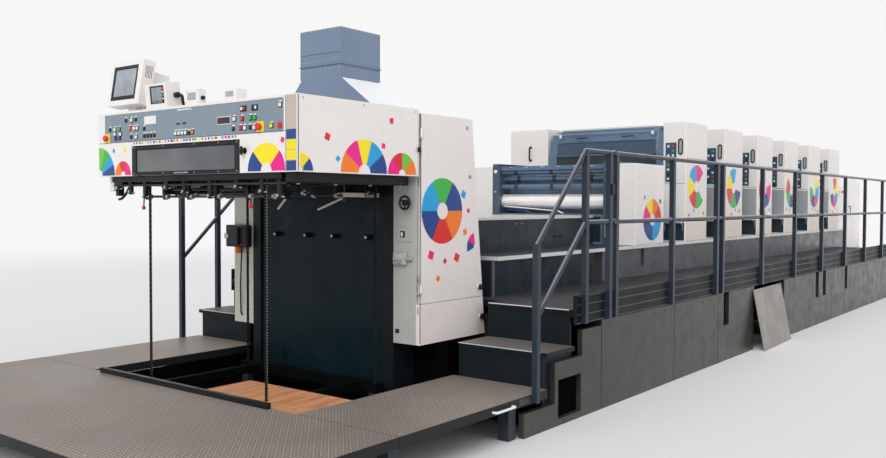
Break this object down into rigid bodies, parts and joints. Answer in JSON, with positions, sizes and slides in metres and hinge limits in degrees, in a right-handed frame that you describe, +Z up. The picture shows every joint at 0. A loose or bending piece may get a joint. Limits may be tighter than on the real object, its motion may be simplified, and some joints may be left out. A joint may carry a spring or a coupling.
{
  "type": "sheet-fed offset printing press",
  "caption": "Long sheet-fed offset printing press with a delivery head over a pile pit, a coating unit, a row of tall printing units, raised gangways with railings, and a feeder.",
  "frame": {"origin": "on the floor, on the press centre line, at half of the overall length", "axes": "+X from the delivery end to the feeder end, +Y from the operator side to the drive side, +Z up"},
  "size_m": [16.3, 3.8932, 2.782],
  "materials": {
    "chequer_plate": "worn chequer plate",
    "dark_steel": "dark satin paint",
    "black_paint": "black satin paint",
    "white_enamel": "white gloss enamel",
    "panel_grey": "blue-grey satin paint",
    "hood_grey": "grey satin paint",
    "teal_paint": "dark teal satin paint",
    "pale_steel": "brushed",
    "plinth_grey": "grey-green satin paint",
    "plinth_core": "dark grey paint",
    "rail_paint": "dark blue-grey gloss paint",
    "frame_blue": "dark blue-grey satin paint",
    "chain_steel": "oiled chain steel",
    "plywood": "plain plywood",
    "roller_steel": "ground cylinder",
    "roller_rubber": "ink roller rubber",
    "guard_grey": "dark grey satin paint"
  },
  "bodies": {
    "root": {"delivery_platform": "chequer_plate", "platform_legs": "dark_steel", "pit_edge_bar": "black_paint", "delivery_head": "white_enamel", "control_panel": "panel_grey", "head_screens": "white_enamel", "exhaust_hood": "hood_grey", "side_housing_operator": "white_enamel", "side_housing_drive": "white_enamel", "lower_side_panel": "white_enamel", "delivery_frames": "dark_steel", "jogger_bars": "black_paint", "hoist_chains": "chain_steel", "back_panel": "teal_paint", "extended_delivery": "dark_steel", "delivery_top_plate": "pale_steel", "press_plinth": "plinth_core", "machine_base": "dark_steel", "base_ledge": "pale_steel", "gangway_decks": "chequer_plate", "gangway_supports": "dark_steel", "side_panels_operator": "plinth_grey", "side_panels_drive": "plinth_grey", "loose_panel": "plinth_grey", "delivery_steps": "chequer_plate", "feeder_steps": "chequer_plate", "railing_operator": "rail_paint", "railing_drive": "rail_paint", "coating_frames": "frame_blue", "coating_body": "frame_blue", "unit_frames": "frame_blue", "unit_bodies": "dark_steel", "unit_guards": "panel_grey", "covers_operator": "white_enamel", "covers_drive": "white_enamel", "inking_rollers": "roller_rubber", "footboards": "pale_steel", "feeder_frames": "white_enamel", "feed_table": "pale_steel", "feeder_pile": "plywood"},
    "pile_lift": {"pile_carrier": "dark_steel", "pile_board": "plywood"},
    "hinged_guard": {"window_guard": "guard_grey"},
    "hinged_door": {"side_door": "white_enamel"},
    "turning_roller": {"coating_roller": "roller_steel"}
  },
  "joints": [
    {"name": "pile_hoist", "type": "slide", "parent": "root", "child": "pile_lift", "axis": [0, 0, 1], "range_m": [0, 1.15]},
    {"name": "guard_hinge", "type": "hinge", "parent": "root", "child": "hinged_guard", "pos_m": [-6.783, 0.133, 1.875], "axis": [0, 1, 0], "range_deg": [0, 100]},
    {"name": "door_hinge", "type": "hinge", "parent": "root", "child": "hinged_door", "pos_m": [-5.664, -1.004, 1.4], "axis": [0, 0, -1], "range_deg": [0, 105]},
    {"name": "roller_turn", "type": "hinge", "parent": "root", "child": "turning_roller", "pos_m": [-2.185, 0, 1.515], "axis": [0, 1, 0], "continuous": true}
  ]
}
